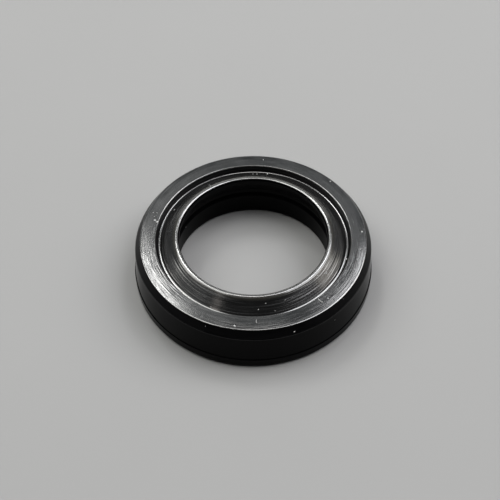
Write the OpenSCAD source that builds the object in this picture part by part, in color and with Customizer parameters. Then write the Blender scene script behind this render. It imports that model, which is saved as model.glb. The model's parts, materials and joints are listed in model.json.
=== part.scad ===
// Hydraulic rod seal: one moulded ring with a raised inner lip, a vee behind the lip and a bead at the heel.
// The heel lies on z = 0, the axis of the ring is z and the lip points up.

/* [Rod and groove] */
// Diameter of the rod that runs through the ring
rod_d = 22; // [20:0.1:24]
// Diameter of the groove that holds the ring
groove_d = 34; // [32.5:0.1:44]

/* [Body] */
// Height from the heel to the front face
body_h = 7.1; // [6.2:0.1:12]
// Radial width of the front face, from the vee to the bevel
face_w = 2.16; // [1.2:0.02:3]
// How far the face falls away towards the bevel
face_fall = 0.08; // [0.02:0.02:0.3]
// Share of the face's width that falls away
face_fall_share = 0.4; // [0.3:0.05:0.7]
// Radial width of the bevel round the front face
bevel_w = 0.78; // [0.3:0.02:1]
// Height of the bevel, from the front face down to the ridge
bevel_h = 1.3; // [0.6:0.05:2]
// How far the outer wall leans in on its way from the heel bead up to the ridge
wall_lean = 0.3; // [0:0.05:0.6]
// Rounding where the front face turns into the bevel
face_round = 0.2; // [0.05:0.05:0.6]
// Rounding of the ridge between bevel and wall
ridge_round = 0.12; // [0.05:0.01:0.4]

/* [Heel bead] */
// Radial squeeze of the bead in the groove
bead_squeeze = 0.16; // [0.05:0.01:0.4]
// Height of the bead above the heel
bead_h = 1.6; // [1:0.1:2.6]
// How far the bead stands out from the wall above it
bead_step = 0.1; // [0.05:0.01:0.3]
// Rounding of the bead into the heel face
bead_round = 0.45; // [0.1:0.05:0.8]

/* [Lip] */
// Radial squeeze of the lip on the rod
lip_squeeze = 0.54; // [0.2:0.02:0.8]
// Height of the lip's tip above the front face
lip_rise = 0.58; // [0.2:0.02:1.2]
// Rounding of the lip's tip
lip_round = 0.4; // [0.2:0.02:0.5]
// Length of the straight land that touches the rod, below the rounded tip
lip_land = 0.38; // [0.2:0.02:0.8]
// Radial width of the brow, between the rounded tip and the cone
brow_w = 0.18; // [0.1:0.02:0.4]
// Slope of the brow as a share of the slope from the tip to the vee
brow_share = 0.5; // [0.3:0.05:0.7]

/* [Vee] */
// Depth of the vee below the front face, to where its flanks would meet
vee_depth = 1.27; // [0.8:0.01:2]
// Lean of the vee's outer flank from the vertical, in degrees
vee_lean = 11; // [4:1:45]
// Rounding at the bottom of the vee
vee_round = 0.38; // [0.1:0.02:0.5]
// Rounding where the vee meets the front face
vee_edge_round = 0.14; // [0.05:0.01:0.3]

/* [Bore] */
// Radial clearance of the heel bore round the rod
bore_gap = 0.06; // [0.05:0.01:0.3]
// Height of the chamfer at the heel end of the bore
bore_chamfer_h = 0.45; // [0.3:0.05:1.2]
// Radial width of that chamfer
bore_chamfer_w = 0.25; // [0.1:0.05:0.6]
// Height above the heel of the shoulder at the top of the bore
shoulder_h = 3.45; // [2:0.05:4]
// Height of the shoulder's slope, from the bore up to the back of the relief
shoulder_rise = 0.55; // [0.3:0.05:1]
// Radial depth of the relief between shoulder and lip
relief_depth = 0.3; // [0.15:0.05:0.6]
// Height of the straight back of the relief
relief_h = 0.6; // [0.3:0.1:1]

/* [Hidden] */

// Degrees of each step along a rounded corner, and of each step round the axis
round_step = 12;
axis_step = 2;

// Edge break left on every corner that has no rounding of its own
edge_break = 0.08;
// Parts of the brow and of the face that their soft bends take up
brow_bend = 0.95;
crown_bend = 0.45;
// Hollow of the relief where it runs out under the lip
relief_round = 0.8;
// Rounding of the shoulder at the top of the bore
shoulder_round = 0.22;

rubber_black = [0.05, 0.05, 0.055];

// Radii of the outer side, from the groove inwards
bead_r = groove_d / 2 + bead_squeeze;
wall_r = bead_r - bead_step;
ridge_r = wall_r - wall_lean;
face_outer_r = ridge_r - bevel_w;
face_inner_r = face_outer_r - face_w;
crown_w = face_w * face_fall_share;
crown_r = face_outer_r - crown_w;
vee_r = face_inner_r - vee_depth * tan(vee_lean);

// Radii of the inner side, from the rod outwards
lip_r = rod_d / 2 - lip_squeeze;
bore_r = rod_d / 2 + bore_gap;
relief_r = bore_r + relief_depth;

// Heights
ridge_z = body_h - bevel_h;
vee_z = body_h - vee_depth;
land_top_z = body_h + lip_rise - lip_round;
land_low_z = land_top_z - lip_land;
relief_low_z = shoulder_h + shoulder_rise;
relief_top_z = relief_low_z + relief_h;

// The brow touches the rounded tip and ends where the cone to the vee begins
brow_lean = brow_share * atan2(body_h + lip_rise - vee_z, vee_r - lip_r - lip_round);
lip_corner_z = land_top_z + lip_round * (1 / cos(brow_lean) + tan(brow_lean));
brow_r = lip_r + lip_round * (1 + sin(brow_lean)) + brow_w;
brow_z = lip_corner_z - (brow_r - lip_r) * tan(brow_lean);
cone_lean = atan2(brow_z - vee_z, vee_r - brow_r);
brow_round = brow_bend * brow_w / cos(brow_lean) / tan((cone_lean - brow_lean) / 2);

// The face bends softly from its level part to the part that falls away
crown_round = crown_bend * min(crown_w, face_w - crown_w) / tan(atan2(face_fall, crown_w) / 2);

// Corners of the half section, each [radius, height, rounding], round the section from the heel face outwards
CORNERS = [
    [bore_r + bore_chamfer_w, 0, edge_break],
    [bead_r, 0, bead_round],
    [bead_r, bead_h, bead_step / 2],
    [wall_r, bead_h + bead_step, bead_step / 2],
    [ridge_r, ridge_z, ridge_round],
    [face_outer_r, body_h - face_fall, face_round],
    [crown_r, body_h, crown_round],
    [face_inner_r, body_h, vee_edge_round],
    [vee_r, vee_z, vee_round],
    [brow_r, brow_z, brow_round],
    [lip_r, lip_corner_z, lip_round],
    [lip_r, land_low_z, edge_break],
    [relief_r, relief_top_z, relief_round],
    [relief_r, relief_low_z, edge_break],
    [bore_r, shoulder_h, shoulder_round],
    [bore_r, bore_chamfer_h, edge_break]
];

function unit(v) = v / norm(v);
function flat(p) = [p[0], p[1]];
// Smallest signed turn from one heading to another
function turn(from, to) = (to - from + 540) % 360 - 180;

// Points of the arc that rounds a corner between its two neighbours
function corner_arc(before, corner, after) =
    let (
        to_before = unit(flat(before) - flat(corner)),
        to_after = unit(flat(after) - flat(corner)),
        half_angle = acos(to_before * to_after) / 2,
        reach = corner[2] / tan(half_angle),
        centre = flat(corner) + unit(to_before + to_after) * corner[2] / sin(half_angle),
        first = flat(corner) + to_before * reach - centre,
        last = flat(corner) + to_after * reach - centre,
        start = atan2(first[1], first[0]),
        sweep = turn(start, atan2(last[1], last[0])),
        steps = ceil(abs(sweep) / round_step)
    )
    [for (i = [0 : steps]) centre + corner[2] * [cos(start + sweep * i / steps), sin(start + sweep * i / steps)]];

function rounded(corners) =
    let (count = len(corners))
    [
        for (i = [0 : count - 1])
            each corner_arc(corners[(i + count - 1) % count], corners[i], corners[(i + 1) % count])
    ];

module seal_ring() {
    color(rubber_black)
        rotate_extrude($fn = 360 / axis_step)
            polygon(rounded(CORNERS));
}

seal_ring();
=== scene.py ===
import json
import math

import bmesh
import bpy
from mathutils import Matrix, Vector
from mathutils.bvhtree import BVHTree


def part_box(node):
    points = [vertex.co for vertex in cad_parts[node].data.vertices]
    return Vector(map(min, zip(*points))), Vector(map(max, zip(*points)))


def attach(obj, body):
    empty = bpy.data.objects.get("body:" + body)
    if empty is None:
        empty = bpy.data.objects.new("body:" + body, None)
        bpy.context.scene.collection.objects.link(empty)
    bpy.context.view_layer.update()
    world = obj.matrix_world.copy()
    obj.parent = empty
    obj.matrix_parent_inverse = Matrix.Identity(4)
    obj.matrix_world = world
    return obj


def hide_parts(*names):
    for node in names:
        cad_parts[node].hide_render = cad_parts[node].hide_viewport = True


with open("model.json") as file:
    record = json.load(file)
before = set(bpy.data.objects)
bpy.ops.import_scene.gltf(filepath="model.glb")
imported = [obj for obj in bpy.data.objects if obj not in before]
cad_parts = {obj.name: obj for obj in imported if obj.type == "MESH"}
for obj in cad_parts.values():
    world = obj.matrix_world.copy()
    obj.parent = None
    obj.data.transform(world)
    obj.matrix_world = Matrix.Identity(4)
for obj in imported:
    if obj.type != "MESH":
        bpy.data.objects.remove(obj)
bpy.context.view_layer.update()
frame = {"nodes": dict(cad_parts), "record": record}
print("frame loaded:", sorted(frame["nodes"]))

scene = bpy.context.scene
scene.view_settings.view_transform = "Standard"
mm = 0.001
mounts = {mount["name"]: mount["dims"] for mount in frame["record"]["mounts"]}


# node tree helpers

def addNode(tree, kind, place, **settings):
    node = tree.nodes.new(kind)
    node.location = place
    for name, value in settings.items():
        setattr(node, name, value)
    return node


def feed(tree, socket, value):
    if isinstance(value, bpy.types.NodeSocket):
        tree.links.new(value, socket)
    else:
        socket.default_value = value


def mathNode(tree, operation, place, *values):
    node = addNode(tree, "ShaderNodeMath", place, operation=operation)
    for socket, value in zip(node.inputs, values):
        feed(tree, socket, value)
    return node.outputs[0]


def vectorNode(tree, operation, place, *values):
    node = addNode(tree, "ShaderNodeVectorMath", place, operation=operation)
    for socket, value in zip(node.inputs, values):
        feed(tree, socket, value)
    return node


def mixNode(tree, place, factor, first, second):
    node = addNode(tree, "ShaderNodeMix", place, data_type="RGBA")
    feed(tree, node.inputs["Factor"], factor)
    feed(tree, node.inputs["A"], first)
    feed(tree, node.inputs["B"], second)
    return node.outputs["Result"]


def noiseNode(tree, place, vector, scale, detail=2.0, roughness=0.5):
    node = addNode(tree, "ShaderNodeTexNoise", place, noise_dimensions="3D")
    feed(tree, node.inputs["Vector"], vector)
    node.inputs["Scale"].default_value = scale
    node.inputs["Detail"].default_value = detail
    node.inputs["Roughness"].default_value = roughness
    return node.outputs["Fac"]


def rangeNode(tree, place, value, source, target=(0, 1), interpolation="SMOOTHSTEP"):
    node = addNode(tree, "ShaderNodeMapRange", place, interpolation_type=interpolation)
    feed(tree, node.inputs["Value"], value)
    for name, limit in zip(("From Min", "From Max", "To Min", "To Max"), (*source, *target)):
        node.inputs[name].default_value = limit
    return node.outputs["Result"]


def groupSockets(tree, inputs, outputs):
    for name, (kind, default) in inputs.items():
        socket = tree.interface.new_socket(name=name, in_out="INPUT", socket_type="NodeSocket" + kind)
        if default is not None:
            socket.default_value = default
    for name, kind in outputs.items():
        tree.interface.new_socket(name=name, in_out="OUTPUT", socket_type="NodeSocket" + kind)


def nodesModifier(item, tree, values):
    modifier = item.modifiers.new(tree.name, "NODES")
    modifier.node_group = tree
    for socket in tree.interface.items_tree:
        if socket.item_type == "SOCKET" and socket.in_out == "INPUT" and socket.name in values:
            modifier[socket.identifier] = values[socket.name]  # by identifier, not by name


def bakeModifiers(item):
    # the evaluated result becomes the object's plain mesh, with its faces outwards
    graph = bpy.context.evaluated_depsgraph_get()
    plain = bpy.data.meshes.new_from_object(item.evaluated_get(graph), depsgraph=graph)
    source = item.data
    item.modifiers.clear()
    item.data = plain
    bpy.data.meshes.remove(source)
    plain.name = item.name
    shape = bmesh.new()
    shape.from_mesh(plain)
    bmesh.ops.recalc_face_normals(shape, faces=shape.faces)
    shape.to_mesh(plain)
    shape.free()


def newMaterial(name):
    material = bpy.data.materials.new(name)
    material.use_nodes = True
    tree = material.node_tree
    return material, tree, tree.nodes["Principled BSDF"]


def mottledFinish(name, look):
    # two close tones mixed by a fine noise
    material, tree, shader = newMaterial(name)
    shader.inputs["Roughness"].default_value = look["roughness"]
    shader.inputs["Specular IOR Level"].default_value = look["gloss"]
    place = addNode(tree, "ShaderNodeTexCoord", (-800, 200))
    grain = noiseNode(tree, (-600, 200), place.outputs["Object"], look["grainScale"])
    feed(tree, shader.inputs["Base Color"], mixNode(tree, (-300, 200), grain, *look["colours"]))
    return material


# shared shader groups

marksLook = {"detail": 1.0, "roughness": 0.6, "bandRange": (0.4, 0.64)}
filmLook = {
    "speckCells": 1.4 / mm,
    "cloudScale": 0.35 / mm, "cloudDetail": 5.0, "cloudRoughness": 0.6, "cloudRange": (0.35, 0.75),
}


def turningMarksGroup(look):
    # concentric tool marks round z: fine height, soft bands of tone and roughness, and the radius in mm
    tree = bpy.data.node_groups.new("turningMarks", "ShaderNodeTree")
    groupSockets(tree, {"Pitch": ("Float", 0.3), "Wander": ("Float", 1.0)},
                 {"Height": "Float", "Band": "Float", "Radius": "Float"})
    start = addNode(tree, "NodeGroupInput", (-1200, 0))
    end = addNode(tree, "NodeGroupOutput", (500, 0))
    place = addNode(tree, "ShaderNodeTexCoord", (-1200, 300))
    flat = vectorNode(tree, "MULTIPLY", (-1000, 300), place.outputs["Object"], (1 / mm, 1 / mm, 0))
    radius = vectorNode(tree, "LENGTH", (-800, 400), flat.outputs[0]).outputs["Value"]
    heading = vectorNode(tree, "NORMALIZE", (-800, 220), flat.outputs[0])
    drift = vectorNode(tree, "SCALE", (-600, 220), heading.outputs[0])
    feed(tree, drift.inputs["Scale"], start.outputs["Wander"])
    lift = addNode(tree, "ShaderNodeCombineXYZ", (-420, 420))
    feed(tree, lift.inputs["Z"], mathNode(tree, "DIVIDE", (-600, 420), radius, start.outputs["Pitch"]))
    track = vectorNode(tree, "ADD", (-240, 300), drift.outputs[0], lift.outputs[0])
    height = noiseNode(tree, (-60, 300), track.outputs[0], 1.0, look["detail"], look["roughness"])
    feed(tree, end.inputs["Height"], height)
    feed(tree, end.inputs["Band"], rangeNode(tree, (200, 100), height, look["bandRange"]))
    feed(tree, end.inputs["Radius"], radius)
    return tree


def dustFilmGroup(look):
    # sparse pinpoint specks and a soft uneven film
    tree = bpy.data.node_groups.new("dustFilm", "ShaderNodeTree")
    groupSockets(tree, {"Speck Size": ("Float", 0.1), "Speck Share": ("Float", 0.05)},
                 {"Speck": "Float", "Film": "Float"})
    start = addNode(tree, "NodeGroupInput", (-900, 0))
    end = addNode(tree, "NodeGroupOutput", (500, 0))
    place = addNode(tree, "ShaderNodeTexCoord", (-900, 260)).outputs["Object"]
    cells = addNode(tree, "ShaderNodeTexVoronoi", (-640, 260), feature="F1")
    cells.inputs["Scale"].default_value = look["speckCells"]
    feed(tree, cells.inputs["Vector"], place)
    pick = addNode(tree, "ShaderNodeSeparateColor", (-420, 120))
    feed(tree, pick.inputs["Color"], cells.outputs["Color"])
    chosen = mathNode(tree, "LESS_THAN", (-220, 120), pick.outputs["Red"], start.outputs["Speck Share"])
    size = mathNode(tree, "MULTIPLY", (-220, 320), pick.outputs["Green"], start.outputs["Speck Size"])
    near = mathNode(tree, "LESS_THAN", (-40, 280), cells.outputs["Distance"], size)
    feed(tree, end.inputs["Speck"], mathNode(tree, "MULTIPLY", (160, 200), chosen, near))
    cloud = noiseNode(tree, (-420, -160), place, look["cloudScale"],
                      look["cloudDetail"], look["cloudRoughness"])
    feed(tree, end.inputs["Film"], rangeNode(tree, (-160, -160), cloud, look["cloudRange"]))
    return tree


turningMarks = turningMarksGroup(marksLook)
dustFilm = dustFilmGroup(filmLook)


# rubber finishes

# what a finish has unless it says otherwise; pitch, depth and the halo band's radii in mm
finishBase = {
    "ior": 1.5, "brushed": 0.0, "brushTurn": 0.25,
    "markPitch": 0.6, "markWander": 2.0, "markDepth": 0.006, "markHaze": 0.6, "filmHaze": 0.4,
    "speckColour": (0.2, 0.2, 0.2, 1), "speckSize": 0.09, "speckShare": 0.03, "speckRoughness": 0.5,
}
finishLooks = {
    "turnedFace": {
        "colour": (0.004, 0.0055, 0.006, 1), "hazeColour": (0.034, 0.036, 0.037, 1),
        "ior": 1.65, "gloss": 1.0, "brushed": 0.5, "roughness": (0.15, 0.2), "filmRoughness": 0.04,
        "markPitch": 0.18, "markWander": 4.0, "markDepth": 0.028,
        "speckColour": (0.3, 0.3, 0.3, 1), "speckSize": 0.2,
    },
    "turnedCone": {
        "colour": (0.007, 0.007, 0.0072, 1), "hazeColour": (0.012, 0.012, 0.012, 1),
        "ior": 1.7, "gloss": 1.0, "brushed": 0.6, "roughness": (0.17, 0.23), "filmRoughness": 0.04,
        "markPitch": 0.22, "markWander": 1.5, "markDepth": 0.045,
        "speckColour": (0.3, 0.3, 0.3, 1), "speckSize": 0.2,
        # painted highlight halo: the cone is paler towards the lip, and also smoother there
        "wornBand": (11.1, 11.6), "wornColour": (0.042, 0.04, 0.034, 1), "wornRoughness": -0.05,
    },
    "polishedVee": {
        "colour": (0.004, 0.004, 0.0042, 1), "hazeColour": (0.008, 0.008, 0.008, 1),
        "ior": 2.1, "gloss": 1.0, "roughness": (0.09, 0.12), "filmRoughness": 0.03,
        "markDepth": 0.004, "speckColour": (0.3, 0.3, 0.3, 1), "speckSize": 0.2,
    },
    # painted highlight: a paler tone on the lip and on the face's rims stands in for their edge highlights
    "rubbedLip": {
        "colour": (0.02, 0.02, 0.018, 1), "hazeColour": (0.035, 0.034, 0.03, 1),
        "ior": 2.3, "gloss": 1.0, "brushed": 0.2, "roughness": (0.13, 0.18), "filmRoughness": 0.05,
        "markPitch": 0.24, "markWander": 6.0, "markDepth": 0.01, "speckColour": (0.3, 0.3, 0.3, 1),
    },
    "mouldedRubber": {
        "colour": (0.0015, 0.0015, 0.0018, 1), "hazeColour": (0.003, 0.003, 0.0034, 1),
        "gloss": 0.1, "brushed": 0.3, "roughness": (0.3, 0.36), "filmRoughness": 0.08,
    },
    "rubbedRidge": {
        "colour": (0.002, 0.002, 0.0023, 1), "hazeColour": (0.004, 0.004, 0.0044, 1),
        "gloss": 0.4, "roughness": (0.16, 0.24), "filmRoughness": 0.06,
        "markPitch": 0.3, "markWander": 6.0, "markDepth": 0.008,
    },
    "smoothWall": {
        "colour": (0.001, 0.001, 0.0012, 1), "hazeColour": (0.002, 0.002, 0.0023, 1),
        "gloss": 0.04, "roughness": (0.07, 0.1), "filmRoughness": 0.03,
    },
    "boreRubber": {
        "colour": (0.001, 0.001, 0.0012, 1), "hazeColour": (0.002, 0.002, 0.0023, 1),
        "gloss": 0.05, "roughness": (0.28, 0.34), "filmRoughness": 0.05,
    },
}


def rubberFinish(name, look):
    material, tree, shader = newMaterial(name)
    shader.inputs["IOR"].default_value = look["ior"]
    shader.inputs["Specular IOR Level"].default_value = look["gloss"]
    shader.inputs["Anisotropic"].default_value = look["brushed"]
    shader.inputs["Anisotropic Rotation"].default_value = look["brushTurn"]  # rough across the marks
    marks = addNode(tree, "ShaderNodeGroup", (-1000, 100), node_tree=turningMarks)
    marks.inputs["Pitch"].default_value = look["markPitch"]
    marks.inputs["Wander"].default_value = look["markWander"]
    film = addNode(tree, "ShaderNodeGroup", (-1000, -200), node_tree=dustFilm)
    film.inputs["Speck Size"].default_value = look["speckSize"]
    film.inputs["Speck Share"].default_value = look["speckShare"]
    band, cloud, speck = marks.outputs["Band"], film.outputs["Film"], film.outputs["Speck"]
    thin = mathNode(tree, "MULTIPLY", (-900, 420), cloud, look["filmHaze"])
    haze = mathNode(tree, "MULTIPLY_ADD", (-750, 420), band, look["markHaze"], thin)
    colour = mixNode(tree, (-600, 400), haze, look["colour"], look["hazeColour"])
    smooth, rough = look["roughness"]
    banded = mathNode(tree, "MULTIPLY_ADD", (-700, 60), band, rough - smooth, smooth)
    roughness = mathNode(tree, "MULTIPLY_ADD", (-520, 20), cloud, look["filmRoughness"], banded)
    if "wornBand" in look:
        # painted highlight halo: paler towards the inner radius; the same band is also smoother there
        haloAndSmoothing = rangeNode(tree, (-800, 640), marks.outputs["Radius"], look["wornBand"], (1, 0))
        colour = mixNode(tree, (-450, 560), haloAndSmoothing, colour, look["wornColour"])
        roughness = mathNode(tree, "MULTIPLY_ADD", (-430, 160), haloAndSmoothing, look["wornRoughness"], roughness)
    dusty = mixNode(tree, (-300, 400), speck, colour, look["speckColour"])
    dulled = mathNode(tree, "MULTIPLY_ADD", (-340, 0), speck, look["speckRoughness"], roughness)
    feed(tree, shader.inputs["Base Color"], dusty)
    feed(tree, shader.inputs["Roughness"], dulled)
    bump = addNode(tree, "ShaderNodeBump", (-340, -260))
    bump.inputs["Strength"].default_value = 1.0
    bump.inputs["Distance"].default_value = look["markDepth"] * mm
    feed(tree, bump.inputs["Height"], marks.outputs["Height"])
    feed(tree, shader.inputs["Normal"], bump.outputs["Normal"])
    return material


finishes = {name: rubberFinish(name, {**finishBase, **look}) for name, look in finishLooks.items()}
print("rubber finishes made:", len(finishes))


# seal ring: one rounded section turned round z

# lengths in mm, the vee's lean in degrees
sealSizes = {
    "lipRadius": mounts["rod_lip"]["r_mm"],
    "boreRadius": mounts["heel_bore"]["r_mm"],
    "beadRadius": mounts["groove_bead"]["r_mm"],
    "tipHeight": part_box("seal_ring")[1].z / mm,
    "lipRise": 0.58, "lipRound": 0.4, "lipLand": 0.38,
    "browWidth": 0.18, "browShare": 0.5, "browBend": 0.95,
    "faceWidth": 2.16, "faceRound": 0.2, "faceFall": 0.08, "faceFallShare": 0.4, "crownBend": 0.45,
    "bevelWidth": 0.78, "bevelHeight": 1.3, "ridgeRound": 0.12,
    "wallLean": 0.3, "beadHeight": 1.6, "beadStep": 0.1, "beadRound": 0.45,
    "veeDepth": 1.27, "veeLean": 11, "veeRound": 0.38, "veeEdgeRound": 0.14,
    "chamferHeight": 0.45, "chamferWidth": 0.25,
    "shoulderHeight": 3.45, "shoulderRise": 0.55, "shoulderRound": 0.22,
    "reliefDepth": 0.3, "reliefHeight": 0.6, "reliefRound": 0.8, "edgeBreak": 0.08,
    "turns": 288, "cornerSteps": 12, "flatStep": 0.16,
    # reach of the finishes, inwards and outwards of the corner they lie on
    "boreReach": 0.6, "ridgeReach": (0.06, 0.04), "ridgeDrop": 0.08, "faceGap": 0.03,
    "innerRimReach": (0.05, 0.09), "innerRimFloor": 6.95,
    "outerRimReach": (0.1, 0.03), "outerRimFloor": 6.8,
    "veeReach": (0.6, -0.11),
    # reach and drop of the lip's finish, in lip roundings
    "lipReach": 1.4, "lipDrop": 0.2,
}


def sectionCorners(s):
    # radius, height and rounding of each corner, round the section from the heel face outwards
    faceZ = s["tipHeight"] - s["lipRise"]
    wallR = s["beadRadius"] - s["beadStep"]
    ridgeR = wallR - s["wallLean"]
    faceOuterR = ridgeR - s["bevelWidth"]
    faceInnerR = faceOuterR - s["faceWidth"]
    veeR = faceInnerR - s["veeDepth"] * math.tan(math.radians(s["veeLean"]))
    veeZ = faceZ - s["veeDepth"]
    landTop = s["tipHeight"] - s["lipRound"]
    # the brow touches the rounded tip and ends where the cone to the vee begins
    lean = s["browShare"] * math.atan2(s["tipHeight"] - veeZ, veeR - s["lipRadius"] - s["lipRound"])
    lipZ = landTop + s["lipRound"] * (1 / math.cos(lean) + math.tan(lean))
    browR = s["lipRadius"] + s["lipRound"] * (1 + math.sin(lean)) + s["browWidth"]
    browZ = lipZ - (browR - s["lipRadius"]) * math.tan(lean)
    coneLean = math.atan2(browZ - veeZ, veeR - browR)
    browRound = s["browBend"] * s["browWidth"] / math.cos(lean) / math.tan((coneLean - lean) / 2)
    # the face bends softly to the part that falls away
    crownWidth = s["faceWidth"] * s["faceFallShare"]
    crownLean = math.atan2(s["faceFall"], crownWidth)
    crownRound = s["crownBend"] * min(crownWidth, s["faceWidth"] - crownWidth) / math.tan(crownLean / 2)
    reliefR = s["boreRadius"] + s["reliefDepth"]
    reliefZ = s["shoulderHeight"] + s["shoulderRise"]
    return {
        "heelIn": (s["boreRadius"] + s["chamferWidth"], 0, s["edgeBreak"]),
        "heelOut": (s["beadRadius"], 0, s["beadRound"]),
        "beadTop": (s["beadRadius"], s["beadHeight"], s["beadStep"] / 2),
        "wallFoot": (wallR, s["beadHeight"] + s["beadStep"], s["beadStep"] / 2),
        "ridge": (ridgeR, faceZ - s["bevelHeight"], s["ridgeRound"]),
        "faceOut": (faceOuterR, faceZ - s["faceFall"], s["faceRound"]),
        "crown": (faceOuterR - crownWidth, faceZ, crownRound),
        "faceIn": (faceInnerR, faceZ, s["veeEdgeRound"]),
        "vee": (veeR, veeZ, s["veeRound"]),
        "brow": (browR, browZ, browRound),
        "lip": (s["lipRadius"], lipZ, s["lipRound"]),
        "landFoot": (s["lipRadius"], landTop - s["lipLand"], s["edgeBreak"]),
        "reliefTop": (reliefR, reliefZ + s["reliefHeight"], s["reliefRound"]),
        "reliefFoot": (reliefR, reliefZ, s["edgeBreak"]),
        "shoulder": (s["boreRadius"], s["shoulderHeight"], s["shoulderRound"]),
        "boreFoot": (s["boreRadius"], s["chamferHeight"], s["edgeBreak"]),
    }


def finishZones(s, corners):
    # finish, inner radius, outer radius and lowest height; a later zone lies over an earlier one
    def around(corner, reach):
        return corners[corner][0] - reach[0], corners[corner][0] + reach[1]

    ridgeZ, veeZ = corners["ridge"][1], corners["vee"][1]
    veeStart, veeEnd = around("vee", s["veeReach"])
    lipEnd = s["lipRadius"] + s["lipReach"] * s["lipRound"]
    lipFloor = s["tipHeight"] - s["lipDrop"] * s["lipRound"]
    return {
        "Bore": ("boreRubber", 0, corners["heelIn"][0] + s["boreReach"], 0),
        "Bevel": ("mouldedRubber", veeEnd, s["beadRadius"], ridgeZ),
        "Ridge": ("rubbedRidge", *around("ridge", s["ridgeReach"]), ridgeZ - s["ridgeDrop"]),
        "Face": ("turnedFace", corners["faceIn"][0], corners["faceOut"][0] - s["faceGap"], veeZ),
        # the rims and the lip carry the finish with the painted edge highlight
        "Inner Rim": ("rubbedLip", *around("faceIn", s["innerRimReach"]), s["innerRimFloor"]),
        "Outer Rim": ("rubbedLip", *around("faceOut", s["outerRimReach"]), s["outerRimFloor"]),
        "Vee": ("polishedVee", veeStart, veeEnd, veeZ),
        "Cone": ("turnedCone", lipEnd, veeStart, veeZ),
        "Lip": ("rubbedLip", 0, lipEnd, lipFloor),
    }


zoneLimits = ("From", "To", "Above")


def revolveTree(mainFinish, zoneFinishes):
    # section outline in, closed ring out, with its own finish in each zone
    tree = bpy.data.node_groups.new("revolvedSection", "GeometryNodeTree")
    groupSockets(tree, {
        "Section": ("Geometry", None), "Path Radius": ("Float", 0.01), "Turns": ("Int", 64),
        "Corner Steps": ("Int", 4), "Flat Step": ("Float", 0.001),
        **{f"{name} {limit}": ("Float", 0.0) for name in zoneFinishes for limit in zoneLimits},
    }, {"Ring": "Geometry"})
    start = addNode(tree, "NodeGroupInput", (-1400, 0))
    end = addNode(tree, "NodeGroupOutput", (1500, 0))
    outline = addNode(tree, "GeometryNodeMeshToCurve", (-1200, 100))
    feed(tree, outline.inputs["Mesh"], start.outputs["Section"])
    rounding = addNode(tree, "GeometryNodeInputNamedAttribute", (-1200, -120), data_type="FLOAT")
    rounding.inputs["Name"].default_value = "rounding"
    fillet = addNode(tree, "GeometryNodeFilletCurve", (-980, 100), mode="POLY")
    feed(tree, fillet.inputs["Curve"], outline.outputs["Curve"])
    feed(tree, fillet.inputs["Count"], start.outputs["Corner Steps"])
    feed(tree, fillet.inputs["Radius"], rounding.outputs["Attribute"])
    fillet.inputs["Limit Radius"].default_value = True
    # cuts along each flat by its length
    here = addNode(tree, "GeometryNodeInputPosition", (-1200, -320)).outputs["Position"]
    ahead = addNode(tree, "GeometryNodeOffsetPointInCurve", (-1200, -420))
    ahead.inputs["Offset"].default_value = 1
    feed(tree, ahead.inputs["Point Index"], addNode(tree, "GeometryNodeInputIndex", (-1400, -420)).outputs[0])
    there = addNode(tree, "GeometryNodeFieldAtIndex", (-980, -400), data_type="FLOAT_VECTOR", domain="POINT")
    feed(tree, there.inputs["Index"], ahead.outputs["Point Index"])
    feed(tree, there.inputs["Value"], here)
    span = vectorNode(tree, "DISTANCE", (-800, -340), here, there.outputs["Value"])
    cuts = mathNode(tree, "DIVIDE", (-640, -340), span.outputs["Value"], start.outputs["Flat Step"])
    finer = addNode(tree, "GeometryNodeSubdivideCurve", (-440, 100))
    feed(tree, finer.inputs["Curve"], fillet.outputs["Curve"])
    feed(tree, finer.inputs["Cuts"], mathNode(tree, "FLOOR", (-480, -340), cuts))
    path = addNode(tree, "GeometryNodeCurvePrimitiveCircle", (-700, 360))
    feed(tree, path.inputs["Resolution"], start.outputs["Turns"])
    feed(tree, path.inputs["Radius"], start.outputs["Path Radius"])
    upright = addNode(tree, "GeometryNodeSetCurveNormal", (-480, 360), mode="Z_UP")
    feed(tree, upright.inputs["Curve"], path.outputs["Curve"])
    sweep = addNode(tree, "GeometryNodeCurveToMesh", (-200, 240))
    feed(tree, sweep.inputs["Curve"], upright.outputs["Curve"])
    feed(tree, sweep.inputs["Profile Curve"], finer.outputs["Curve"])
    shaded = addNode(tree, "GeometryNodeSetShadeSmooth", (0, 240))
    feed(tree, shaded.inputs["Geometry"], sweep.outputs["Mesh"])
    real = addNode(tree, "GeometryNodeRealizeInstances", (200, 240))
    feed(tree, real.inputs["Geometry"], shaded.outputs["Geometry"])
    coat = addNode(tree, "GeometryNodeSetMaterial", (450, 240))
    feed(tree, coat.inputs["Geometry"], real.outputs["Geometry"])
    coat.inputs["Material"].default_value = mainFinish
    # each zone lies between two radii and above a height
    level = addNode(tree, "ShaderNodeSeparateXYZ", (-200, -60))
    feed(tree, level.inputs[0], here)
    flat = vectorNode(tree, "MULTIPLY", (-200, -200), here, (1, 1, 0))
    reach = vectorNode(tree, "LENGTH", (0, -200), flat.outputs[0]).outputs["Value"]
    for row, (name, finish) in enumerate(zoneFinishes.items(), 1):
        drop = 420 * row
        inner, outer, lowest = (start.outputs[f"{name} {limit}"] for limit in zoneLimits)
        outside = mathNode(tree, "GREATER_THAN", (200, 40 - drop), reach, inner)
        inside = mathNode(tree, "LESS_THAN", (200, -100 - drop), reach, outer)
        above = mathNode(tree, "GREATER_THAN", (200, -240 - drop), level.outputs["Z"], lowest)
        between = mathNode(tree, "MULTIPLY", (400, -40 - drop), outside, inside)
        dressed = coat.outputs["Geometry"]
        coat = addNode(tree, "GeometryNodeSetMaterial", (450 + 250 * row, 240))
        feed(tree, coat.inputs["Geometry"], dressed)
        feed(tree, coat.inputs["Selection"], mathNode(tree, "MULTIPLY", (560, -120 - drop), between, above))
        coat.inputs["Material"].default_value = finish
    feed(tree, end.inputs["Ring"], coat.outputs["Geometry"])
    return tree


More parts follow.
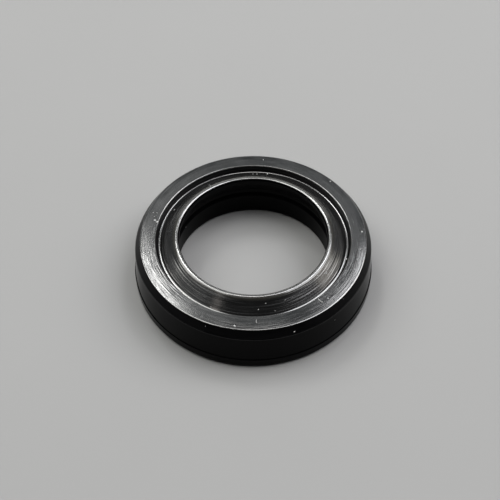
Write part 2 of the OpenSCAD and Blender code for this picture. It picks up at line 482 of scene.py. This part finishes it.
def makeSealRing(s):
    corners = sectionCorners(s)
    zones = finishZones(s, corners)
    pathRadius = (s["lipRadius"] + s["beadRadius"]) / 2
    count = len(corners)
    outline = bpy.data.meshes.new("sealSection")
    # the sweep turns the section's y to -z
    outline.from_pydata([((r - pathRadius) * mm, -z * mm, 0) for r, z, rounding in corners.values()],
                        [(i, (i + 1) % count) for i in range(count)], [])
    roundings = outline.attributes.new("rounding", "FLOAT", "POINT")
    roundings.data.foreach_set("value", [rounding * mm for r, z, rounding in corners.values()])
    ring = bpy.data.objects.new("sealRing", outline)
    scene.collection.objects.link(ring)
    tree = revolveTree(finishes["smoothWall"], {name: finishes[zone[0]] for name, zone in zones.items()})
    inputs = {
        "Path Radius": pathRadius * mm, "Turns": s["turns"],
        "Corner Steps": s["cornerSteps"], "Flat Step": s["flatStep"] * mm,
    }
    for name, zone in zones.items():
        inputs.update({f"{name} {limit}": value * mm for limit, value in zip(zoneLimits, zone[1:])})
    nodesModifier(ring, tree, inputs)
    bakeModifiers(ring)
    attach(ring, "root")
    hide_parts("seal_ring")
    return ring


sealRing = makeSealRing(sealSizes)
print("seal ring:", len(sealRing.data.polygons), "faces")


# dust: pale specks and fibres on the rubber

dustLook = {
    # angle in degrees, radius and height near the surface in mm, then width
    "specks": [
        (167.7, 14.4, 7.1, 0.36), (168.6, 14.0, 7.1, 0.3), (165, 14.7, 7.1, 0.14), (162.5, 15.1, 7.1, 0.12),
        (162, 14.6, 7.1, 0.12), (84, 15.15, 7.1, 0.18), (87.3, 12.7, 6.45, 0.17), (90, 12.7, 6.45, 0.15),
        (80.6, 13.25, 6.1, 0.18), (124, 11.1, 7.6, 0.14), (153.5, 11.0, 3.4, 0.16), (3, 15.45, 7.1, 0.32),
        (345.4, 13.5, 6.15, 0.28), (320.5, 11.4, 7.4, 0.16), (310.5, 16.9, 4.8, 0.1),
        (260.7, 15.5, 7.0, 0.32), (289, 16.6, 6.2, 0.2), (273, 12.4, 6.7, 0.15), (278, 11.8, 7.1, 0.14),
        (291, 11.9, 7.1, 0.11), (247, 16.3, 6.6, 0.08),
    ],
    "speckTurn": 40,  # degrees from one speck to the next
    # angle, middle radius and height, length, and turn from the radial direction in degrees
    "fibres": [(308.5, 14.4, 7.1, 0.85, 6), (271.5, 14.6, 7.1, 0.55, 0)],
    # shapes for a width or length of 1
    "speckScale": (1.0, 0.75, 0.55),
    "fibreBow": {"Start": (-0.5, 0, 0.02), "Middle": (0, -0.12, 0.05), "End": (0.5, 0, 0.02)},
    "fibreRadius": 0.05, "fibreSides": 6,
    "sizeSpread": (0.85, 1.15), "seed": 5,
}
lintLook = {
    "roughness": 0.9, "gloss": 0.2, "grainScale": 6 / mm,
    "colours": ((0.7, 0.7, 0.69, 1), (0.88, 0.88, 0.87, 1)),
}
seatKinds = {"facing": "FLOAT_VECTOR", "along": "FLOAT_VECTOR", "size": "FLOAT", "fibre": "BOOLEAN"}


def dustTree(look, finish):
    # one speck or fibre on each seat, flat on the surface
    tree = bpy.data.node_groups.new("dustOnSeats", "GeometryNodeTree")
    groupSockets(tree, {"Seats": ("Geometry", None), "Seed": ("Int", 0)}, {"Dust": "Geometry"})
    start = addNode(tree, "NodeGroupInput", (-1200, 0))
    end = addNode(tree, "NodeGroupOutput", (1100, 0))
    stored = {}
    for row, (name, kind) in enumerate(seatKinds.items()):
        read = addNode(tree, "GeometryNodeInputNamedAttribute", (-1200, -200 - 160 * row), data_type=kind)
        read.inputs["Name"].default_value = name
        stored[name] = read.outputs["Attribute"]
    upright = addNode(tree, "FunctionNodeAlignRotationToVector", (-900, -200), axis="Z")
    feed(tree, upright.inputs["Vector"], stored["facing"])
    turned = addNode(tree, "FunctionNodeAlignRotationToVector", (-700, -200), axis="X", pivot_axis="Z")
    feed(tree, turned.inputs["Rotation"], upright.outputs["Rotation"])
    feed(tree, turned.inputs["Vector"], stored["along"])
    spread = addNode(tree, "FunctionNodeRandomValue", (-900, -460), data_type="FLOAT")
    spread.inputs[2].default_value, spread.inputs[3].default_value = look["sizeSpread"]  # the float limits
    feed(tree, spread.inputs["Seed"], start.outputs["Seed"])
    width = mathNode(tree, "MULTIPLY", (-700, -460), stored["size"], spread.outputs[1])
    ball = addNode(tree, "GeometryNodeMeshIcoSphere", (-900, 500))
    ball.inputs["Radius"].default_value = 0.5
    ball.inputs["Subdivisions"].default_value = 2
    speck = addNode(tree, "GeometryNodeTransform", (-700, 500))
    feed(tree, speck.inputs["Geometry"], ball.outputs["Mesh"])
    speck.inputs["Scale"].default_value = look["speckScale"]
    bow = addNode(tree, "GeometryNodeCurveQuadraticBezier", (-900, 300))
    for name, point in look["fibreBow"].items():
        bow.inputs[name].default_value = point
    thread = addNode(tree, "GeometryNodeCurvePrimitiveCircle", (-900, 140))
    thread.inputs["Resolution"].default_value = look["fibreSides"]
    thread.inputs["Radius"].default_value = look["fibreRadius"]
    fibre = addNode(tree, "GeometryNodeCurveToMesh", (-700, 300))
    feed(tree, fibre.inputs["Curve"], bow.outputs["Curve"])
    feed(tree, fibre.inputs["Profile Curve"], thread.outputs["Curve"])
    fibre.inputs["Fill Caps"].default_value = True
    notFibre = addNode(tree, "FunctionNodeBooleanMath", (-700, -640), operation="NOT")
    feed(tree, notFibre.inputs[0], stored["fibre"])
    joined = addNode(tree, "GeometryNodeJoinGeometry", (300, 100))
    shapes = [(speck.outputs["Geometry"], notFibre.outputs[0]), (fibre.outputs["Mesh"], stored["fibre"])]
    for row, (shape, chosen) in enumerate(shapes):
        placed = addNode(tree, "GeometryNodeInstanceOnPoints", (0, 200 - 300 * row))
        feed(tree, placed.inputs["Points"], start.outputs["Seats"])
        feed(tree, placed.inputs["Selection"], chosen)
        feed(tree, placed.inputs["Instance"], shape)
        feed(tree, placed.inputs["Rotation"], turned.outputs["Rotation"])
        feed(tree, placed.inputs["Scale"], width)
        feed(tree, joined.inputs["Geometry"], placed.outputs["Instances"])
    real = addNode(tree, "GeometryNodeRealizeInstances", (500, 100))
    feed(tree, real.inputs["Geometry"], joined.outputs["Geometry"])
    shaded = addNode(tree, "GeometryNodeSetShadeSmooth", (700, 100))
    feed(tree, shaded.inputs["Geometry"], real.outputs["Geometry"])
    coat = addNode(tree, "GeometryNodeSetMaterial", (900, 100))
    feed(tree, coat.inputs["Geometry"], shaded.outputs["Geometry"])
    coat.inputs["Material"].default_value = finish
    feed(tree, end.inputs["Dust"], coat.outputs["Geometry"])
    return tree


def makeDust(ring, look):
    surface = BVHTree.FromObject(ring, bpy.context.evaluated_depsgraph_get())
    rows = [(*speck, look["speckTurn"] * i, False) for i, speck in enumerate(look["specks"])]
    rows += [(*fibre, True) for fibre in look["fibres"]]
    spots = []
    stored = {name: [] for name in seatKinds}
    for angle, radius, height, size, turn, fibre in rows:
        out = Vector((math.cos(math.radians(angle)), math.sin(math.radians(angle)), 0))
        spot, normal = surface.find_nearest((out * radius + Vector((0, 0, height))) * mm)[:2]
        line = Vector((-out.y, out.x, 0)).cross(normal)
        spots.append(spot)
        stored["facing"].extend(normal)
        stored["along"].extend(Matrix.Rotation(math.radians(turn), 3, normal) @ line)
        stored["size"].append(size * mm)
        stored["fibre"].append(fibre)
    seats = bpy.data.meshes.new("dustSeats")
    seats.from_pydata(spots, [], [])
    for name, kind in seatKinds.items():
        field = "vector" if kind == "FLOAT_VECTOR" else "value"
        seats.attributes.new(name, kind, "POINT").data.foreach_set(field, stored[name])
    dust = bpy.data.objects.new("dust", seats)
    scene.collection.objects.link(dust)
    nodesModifier(dust, dustTree(look, mottledFinish("paleLint", lintLook)), {"Seed": look["seed"]})
    bakeModifiers(dust)
    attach(dust, "root")
    return dust


dust = makeDust(sealRing, dustLook)
print("dust:", len(dust.data.polygons), "faces")


# floor, light and camera

floorLook = {
    "size": 3.0, "roughness": 0.9, "gloss": 0.1, "grainScale": 40.0,
    "colours": ((0.46, 0.46, 0.46, 1), (0.4462, 0.4462, 0.4462, 1)),
}

skyLook = {
    "colour": (0.95, 0.98, 1.0, 1), "horizon": 0.05, "overhead": 0.19, "overheadFrom": 0.6,
    "frontShade": 0.05, "frontFrom": (-0.45, -0.33),
}

lampDistance = 0.5
lampLook = {
    # azimuth, elevation, heading of the first side, both sides in metres, radiance, colour;
    # azimuth and heading are seen from above, 0 to the right and 90 to the back
    "leftLamp": (161, 58, 225, (0.28, 0.42), 2.8, (1.0, 1.0, 0.96)),
    "leftSpot": (114, 55.5, 280, (0.1, 0.06), 13, (1.0, 1.0, 0.98)),
    "rightLamp": (18, 56.5, 317, (0.3, 0.42), 3, (0.98, 0.98, 1.0)),
    "rightSpot": (60, 56, 255, (0.12, 0.06), 7, (0.98, 0.98, 1.0)),
    "leftHaze": (106, 49, 196, (0.16, 0.14), 0.55, (1.0, 1.0, 0.98)),
    "rightHaze": (80, 46.5, 170, (0.1, 0.08), 0.5, (0.98, 0.99, 1.0)),
    "backLow": (90, 15, 0, (0.7, 0.14), 0.7, (1.0, 1.0, 0.97)),
    "leftGlow": (177, 43.5, 221, (0.07, 0.3), 0.4, (1.0, 0.95, 0.85)),
    "rightGlow": (11, 40, 327, (0.08, 0.34), 1.4, (1.0, 0.97, 0.9)),
    "topLamp": (90, 80, 90, (0.14, 0.12), 2.6, (1.0, 0.98, 0.95)),
    "rightLow": (11, 32, 101, (0.3, 0.13), 0.9, (1.0, 0.92, 0.8)),
    "frontLow": (223, 49, 133, (0.05, 0.1), 0.8, (1.0, 0.93, 0.86)),
}

# target and distance in mm, angles in degrees
cameraLook = {
    "target": (0, 0, 7.1), "elevation": 50.13, "distance": 141.24, "roll": -0.23,
    "lens": 72, "sensor": 36, "shift": (-0.0064, -0.0272), "nearest": 10,
}


def makeFloor(look):
    plane = bpy.data.meshes.new("floor")
    half = look["size"] / 2
    plane.from_pydata([(-half, -half, 0), (half, -half, 0), (half, half, 0), (-half, half, 0)],
                      [], [(0, 1, 2, 3)])
    plane.materials.append(mottledFinish("paleFloor", look))
    floor = bpy.data.objects.new("floor", plane)
    scene.collection.objects.link(floor)


def makeSky(look):
    # brighter overhead than at the horizon, shaded to the front
    world = bpy.data.worlds.new("studio")
    world.use_nodes = True
    tree = world.node_tree
    sky = tree.nodes["Background"]
    sky.inputs["Color"].default_value = look["colour"]
    place = addNode(tree, "ShaderNodeTexCoord", (-900, 0))
    heading = addNode(tree, "ShaderNodeSeparateXYZ", (-700, 0))
    feed(tree, heading.inputs[0], place.outputs["Generated"])
    rise = rangeNode(tree, (-450, 150), heading.outputs["Z"], (0, look["overheadFrom"]),
                     (look["horizon"], look["overhead"]), "LINEAR")
    front = rangeNode(tree, (-450, -150), heading.outputs["Y"], look["frontFrom"], (look["frontShade"], 1))
    feed(tree, sky.inputs["Strength"], mathNode(tree, "MULTIPLY", (-200, 0), rise, front))
    scene.world = world


def makeLamp(name, azimuth, elevation, heading, sides, radiance, colour):
    azimuth, elevation, heading = (math.radians(angle) for angle in (azimuth, elevation, heading))
    level = Vector((math.cos(azimuth), math.sin(azimuth), 0))
    away = level * math.cos(elevation) + Vector((0, 0, math.sin(elevation)))
    first = Vector((math.cos(heading), math.sin(heading), 0))
    along = (first - away * away.dot(first)).normalized()
    light = bpy.data.lights.new(name, "AREA")
    light.shape = "RECTANGLE"
    light.size, light.size_y = sides
    light.color = colour
    light.energy = radiance * math.pi * light.size * light.size_y
    lamp = bpy.data.objects.new(name, light)
    lamp.matrix_world = Matrix((along, away.cross(along), away)).transposed().to_4x4()
    lamp.location = away * lampDistance
    scene.collection.objects.link(lamp)


def makeCamera(look):
    elevation = math.radians(look["elevation"])
    away = Vector((0, -math.cos(elevation), math.sin(elevation)))
    view = bpy.data.cameras.new("camera")
    view.lens = look["lens"]
    view.sensor_width = look["sensor"]
    view.shift_x, view.shift_y = look["shift"]
    view.clip_start = look["nearest"] * mm
    camera = bpy.data.objects.new("camera", view)
    camera.location = (Vector(look["target"]) + away * look["distance"]) * mm
    turn = away.to_track_quat("Z", "Y").to_matrix() @ Matrix.Rotation(math.radians(look["roll"]), 3, "Z")
    camera.rotation_euler = turn.to_euler()
    scene.collection.objects.link(camera)
    scene.camera = camera


makeFloor(floorLook)
makeSky(skyLook)
for lampName, lampRow in lampLook.items():
    makeLamp(lampName, *lampRow)
makeCamera(cameraLook)
print("floor, lamps and camera set")
